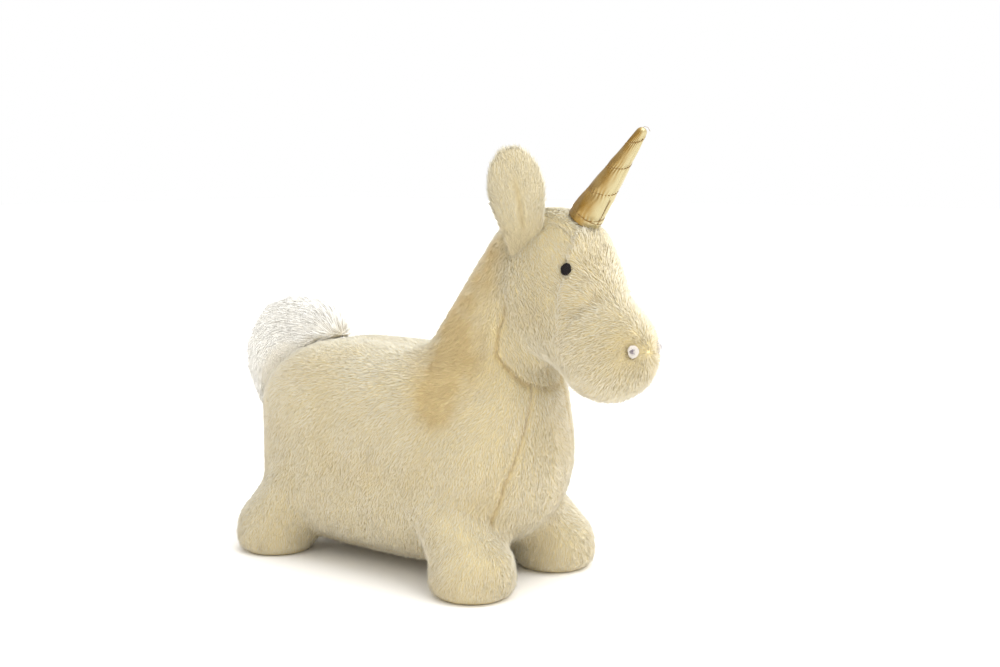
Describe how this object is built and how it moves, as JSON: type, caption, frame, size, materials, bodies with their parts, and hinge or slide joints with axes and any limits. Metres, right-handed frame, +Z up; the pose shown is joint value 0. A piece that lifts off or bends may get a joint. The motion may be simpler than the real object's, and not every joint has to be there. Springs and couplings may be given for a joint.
{
  "type": "plush ride-on unicorn",
  "caption": "Inflatable ride-on unicorn in a zip-off cream plush cover, with stuffed ears, a banded gold horn, embroidered eyes and a long-pile white tail.",
  "frame": {"origin": "on the floor, below the middle of the length from muzzle to tail", "axes": "+Z up; -Y the way the face points; +X the animal's left"},
  "size_m": [0.2512, 0.6116, 0.5012],
  "materials": {
    "plush": "short cream plush pile",
    "ear_lining_plush": "short cream plush pile",
    "sole_plush": "short plush, flattened",
    "wadding": "loose fibre",
    "gold_fabric": "metallic coated fabric, soft gloss",
    "gold_thread": "stitched thread",
    "long_pile": "long soft white pile",
    "eye_thread": "satin embroidery",
    "nostril_thread": "satin embroidery",
    "zip_tape": "woven tape",
    "zip_chain": "nylon coil",
    "zip_metal": "satin metal",
    "vinyl": "soft vinyl",
    "label_satin": "woven satin, blank"
  },
  "bodies": {
    "cover": {"side_left": "plush", "side_right": "plush", "chest_gusset": "plush", "belly_left": "plush", "belly_right": "plush", "forehead_gusset": "plush", "cheek_left": "plush", "cheek_right": "plush", "muzzle_cap": "plush", "leg_front_left": "plush", "leg_front_right": "plush", "leg_rear_left": "plush", "leg_rear_right": "plush", "sole_front_left": "sole_plush", "sole_front_right": "sole_plush", "sole_rear_left": "sole_plush", "sole_rear_right": "sole_plush", "eye_left": "eye_thread", "eye_right": "eye_thread", "nostril_left": "nostril_thread", "nostril_right": "nostril_thread", "zip_tape_left": "zip_tape", "zip_tape_right": "zip_tape", "zip_chain": "zip_chain", "zip_stops": "zip_metal", "bladder": "vinyl", "valve_body": "vinyl", "care_label": "label_satin"},
    "ear_left": {"ear_left_back": "plush", "ear_left_lining": "ear_lining_plush", "ear_left_stuffing": "wadding"},
    "ear_right": {"ear_right_back": "plush", "ear_right_lining": "ear_lining_plush", "ear_right_stuffing": "wadding"},
    "horn": {"horn_cover": "gold_fabric", "horn_stuffing": "wadding", "horn_stitching": "gold_thread"},
    "tail": {"tail_pelt": "long_pile", "tail_stuffing": "wadding"},
    "zip_slider": {"zip_slider": "zip_metal"},
    "zip_pull": {"zip_pull": "zip_metal"},
    "valve_plug": {"valve_plug": "vinyl"}
  },
  "joints": [
    {"name": "ear_left_flex", "type": "hinge", "parent": "cover", "child": "ear_left", "pos_m": [0.05, -0.17447, 0.39093], "axis": [0.6926, 0.7198, -0.0463], "range_deg": [-30, 30], "stiffness_Nm_per_rad": 0.3},
    {"name": "ear_right_flex", "type": "hinge", "parent": "cover", "child": "ear_right", "pos_m": [-0.05, -0.17447, 0.39093], "axis": [0.6237, -0.766, 0.1555], "range_deg": [-30, 30], "stiffness_Nm_per_rad": 0.3},
    {"name": "horn_flex", "type": "hinge", "parent": "cover", "child": "horn", "pos_m": [0, -0.22067, 0.41029], "axis": [1, 0, 0], "range_deg": [-15, 15], "stiffness_Nm_per_rad": 0.6},
    {"name": "tail_lift", "type": "hinge", "parent": "cover", "child": "tail", "pos_m": [0, 0.13353, 0.26], "axis": [1, 0, 0], "range_deg": [0, 60]},
    {"name": "zip_slide", "type": "slide", "parent": "cover", "child": "zip_slider", "axis": [0, -1, 0], "range_m": [0, 0.2092]},
    {"name": "zip_pull_swing", "type": "hinge", "parent": "zip_slider", "child": "zip_pull", "pos_m": [0, 0.14513, 0.0131], "axis": [1, 0, 0], "range_deg": [-60, 60]},
    {"name": "valve_plug_pull", "type": "slide", "parent": "cover", "child": "valve_plug", "axis": [0, 0, -1], "range_m": [0, 0.008]}
  ]
}
